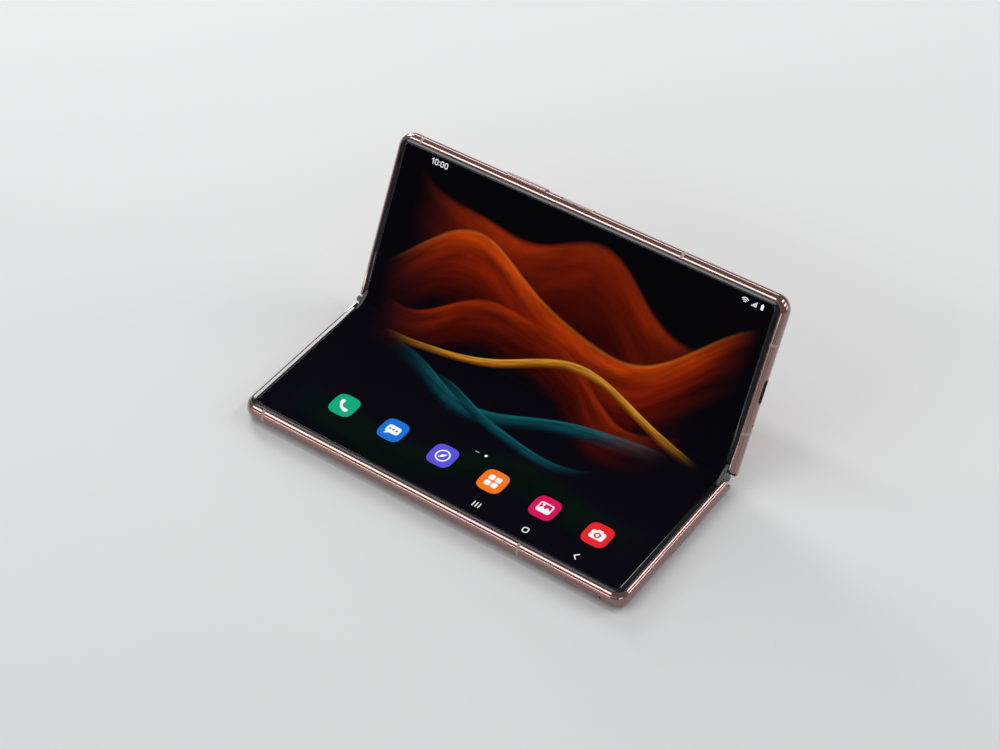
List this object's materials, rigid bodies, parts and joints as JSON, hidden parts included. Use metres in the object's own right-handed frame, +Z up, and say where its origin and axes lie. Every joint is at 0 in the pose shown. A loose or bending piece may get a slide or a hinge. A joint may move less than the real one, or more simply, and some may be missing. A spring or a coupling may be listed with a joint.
{
  "type": "foldable smartphone",
  "caption": "Book-style foldable smartphone, partly open, with a geared virtual-axis hinge, folding inner screen, outer cover screen, side keys and a pull-out card tray.",
  "frame": {"origin": "centre of the lower half's outer face, on the outer glass", "axes": "+X along the hinge towards the end with the charging port, +Y from the lower half's free edge towards the fold, +Z up from the resting surface"},
  "size_m": [0.1592, 0.1008, 0.0622],
  "materials": {
    "frame_metal": "polished rose bronze anodised",
    "cover_glass": "polished black",
    "panel": "gloss",
    "battery": "foil pouch",
    "board": "solder mask",
    "shield": "tinned",
    "speaker_plastic": "moulded",
    "mesh": "woven",
    "camera_black": "satin",
    "bezel_plastic": "satin moulded",
    "support_steel": "etched",
    "screen": "soft gloss film",
    "antenna_plastic": "satin",
    "hinge_steel": "machined",
    "screw_steel": "blackened",
    "sweeper_fibre": "short bristles",
    "key_metal": "polished rose bronze anodised",
    "card": "plain white",
    "back_glass": "frosted rose bronze",
    "island_metal": "satin rose bronze",
    "ring_metal": "polished",
    "lens_glass": "coated",
    "flash_plastic": "diffusing",
    "coil_copper": "wound copper",
    "port_steel": "plated",
    "motor_steel": "plain",
    "bumper_rubber": "soft",
    "flex": "polyimide",
    "spine_metal": "polished rose bronze anodised",
    "cap_plastic": "translucent grey",
    "spring_steel": "drawn wire",
    "gear_brass": "machined"
  },
  "bodies": {
    "lower_half": {"lower_frame": "frame_metal", "cover_display_glass": "cover_glass", "cover_display_panel": "panel", "lower_battery": "battery", "lower_board": "board", "lower_board_shields": "shield", "top_speaker": "speaker_plastic", "bottom_speaker": "speaker_plastic", "speaker_mesh": "mesh", "cover_camera": "camera_black", "lower_bezel": "bezel_plastic", "lower_display_support": "support_steel", "display_lower": "screen", "lower_antenna_bands": "antenna_plastic", "lower_hinge_brackets": "hinge_steel", "lower_hinge_screws": "screw_steel", "lower_sweeper": "sweeper_fibre", "card_reader": "shield"},
    "spine": {"spine_cover": "spine_metal", "spine_end_caps": "cap_plastic", "hinge_fixed_brackets": "hinge_steel", "spine_screws": "screw_steel", "torque_springs": "spring_steel", "cam_followers": "gear_brass", "display_fold": "screen", "hinge_flexes": "flex"},
    "upper_half": {"upper_frame": "frame_metal", "rear_glass": "back_glass", "camera_island": "island_metal", "lens_rings": "ring_metal", "lens_glasses": "lens_glass", "flash_lens": "flash_plastic", "camera_modules": "camera_black", "upper_battery": "battery", "main_board": "board", "main_board_shields": "shield", "port_board": "board", "charging_coil": "coil_copper", "charging_port": "port_steel", "vibration_motor": "motor_steel", "inner_camera": "camera_black", "upper_bezel": "bezel_plastic", "upper_bumpers": "bumper_rubber", "upper_display_support": "support_steel", "display_upper": "screen", "upper_antenna_bands": "antenna_plastic", "upper_hinge_brackets": "hinge_steel", "upper_hinge_screws": "screw_steel", "upper_sweeper": "sweeper_fibre", "key_switches": "flex"},
    "lower_shafts": {"lower_gear_shafts": "hinge_steel"},
    "lower_idlers": {"lower_idler_gears": "gear_brass"},
    "upper_idlers": {"upper_idler_gears": "gear_brass"},
    "upper_shafts": {"upper_gear_shafts": "hinge_steel"},
    "volume_rocker": {"volume_rocker": "key_metal"},
    "side_key": {"side_key": "key_metal"},
    "card_tray": {"card_tray": "key_metal", "nano_card": "card"}
  },
  "joints": [
    {"name": "spine_fold", "type": "hinge", "parent": "lower_half", "child": "spine", "pos_m": [0, 0.03055, 0.0069], "axis": [1, 0, 0], "range_deg": [-30.35, 60.6], "deforming": ["display_fold", "hinge_flexes"]},
    {"name": "upper_fold", "type": "hinge", "parent": "spine", "child": "upper_half", "pos_m": [0, 0.03314, 0.00842], "axis": [1, 0, 0], "range_deg": [-30.4, 60.65], "deforming": ["display_fold", "hinge_flexes"]},
    {"name": "lower_shaft_spin", "type": "hinge", "parent": "spine", "child": "lower_shafts", "pos_m": [0, 0.03036, 0.00366], "axis": [1, 0, 0], "range_deg": [-60.65, 30.4]},
    {"name": "lower_idler_spin", "type": "hinge", "parent": "spine", "child": "lower_idlers", "pos_m": [0, 0.03226, 0.00477], "axis": [1, 0, 0], "range_deg": [-30.4, 60.65]},
    {"name": "upper_idler_spin", "type": "hinge", "parent": "spine", "child": "upper_idlers", "pos_m": [0, 0.03416, 0.00588], "axis": [1, 0, 0], "range_deg": [-60.65, 30.4]},
    {"name": "upper_shaft_spin", "type": "hinge", "parent": "spine", "child": "upper_shafts", "pos_m": [0, 0.03606, 0.007], "axis": [1, 0, 0], "range_deg": [-30.4, 60.65]},
    {"name": "volume_rock", "type": "hinge", "parent": "upper_half", "child": "volume_rocker", "pos_m": [-0.0265, 0.06551, 0.05905], "axis": [0, -0.8721, 0.4894], "range_deg": [-1.3, 1.3], "stiffness_Nm_per_rad": 0.4},
    {"name": "side_key_press", "type": "slide", "parent": "upper_half", "child": "side_key", "axis": [0, -0.4894, -0.8721], "range_m": [0, 0.00025], "stiffness_N_per_m": 5000, "springref_m": -0.0001},
    {"name": "card_tray_slide", "type": "slide", "parent": "lower_half", "child": "card_tray", "axis": [0, -1, 0], "range_m": [0, 0.0175]}
  ],
  "couplings": [
    {"joint": "upper_fold", "follows": "spine_fold", "ratio": 1},
    {"joint": "lower_shaft_spin", "follows": "spine_fold", "ratio": -1},
    {"joint": "lower_idler_spin", "follows": "spine_fold", "ratio": 1},
    {"joint": "upper_idler_spin", "follows": "spine_fold", "ratio": -1},
    {"joint": "upper_shaft_spin", "follows": "spine_fold", "ratio": 1}
  ]
}
